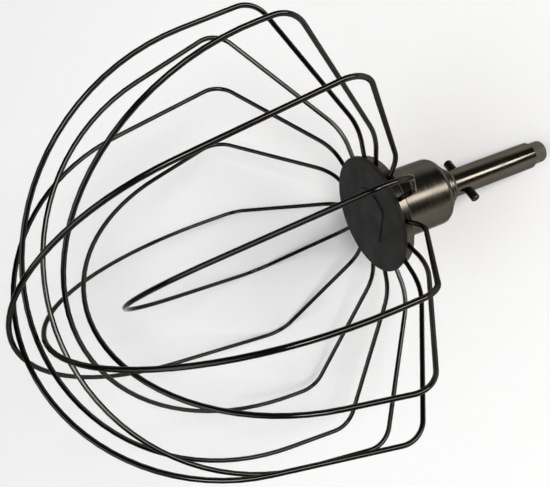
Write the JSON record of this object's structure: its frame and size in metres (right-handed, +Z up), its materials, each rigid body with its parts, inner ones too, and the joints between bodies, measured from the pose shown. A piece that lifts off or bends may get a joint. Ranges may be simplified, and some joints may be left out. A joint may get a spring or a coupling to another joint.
{
  "type": "stand mixer whisk attachment",
  "caption": "Wire whisk attachment for a stand mixer: bent steel wire loops in a balloon form, steel hub cup with flange ring, plastic end disc and a drive shaft with a cross pin.",
  "frame": {"origin": "On the surface the whisk lies on, under the middle of the box that holds it as it lies.", "axes": "+Z is up. The whisk lies with its tips towards +X and raised, and its shaft towards -X with the end on the surface. Y is across the balloon."},
  "size_m": [0.2102, 0.1728, 0.1734],
  "materials": {
    "wire_steel": "drawn stainless steel wire, satin, faint draw marks along it",
    "hub_steel": "stainless steel, brushed around the axis",
    "shaft_steel": "ground stainless steel, fine turning marks",
    "pin_steel": "hardened steel pin, darker satin",
    "disc_plastic": "dark grey matte moulded plastic",
    "plug_plastic": "grey-green matte moulded plastic",
    "seal_rubber": "dark rubber, satin"
  },
  "bodies": {
    "root": {"wire_loop_1": "wire_steel", "wire_loop_2": "wire_steel", "wire_loop_3": "wire_steel", "wire_loop_4": "wire_steel", "wire_loop_5": "wire_steel", "wire_loop_6": "wire_steel", "wire_loop_7": "wire_steel", "wire_loop_8": "wire_steel", "hub_cup": "hub_steel", "flange_ring": "hub_steel", "end_disc": "disc_plastic", "collar": "hub_steel", "shaft_seal": "seal_rubber", "drive_shaft": "shaft_steel", "cross_pin": "pin_steel", "end_plug": "plug_plastic"}
  },
  "joints": []
}
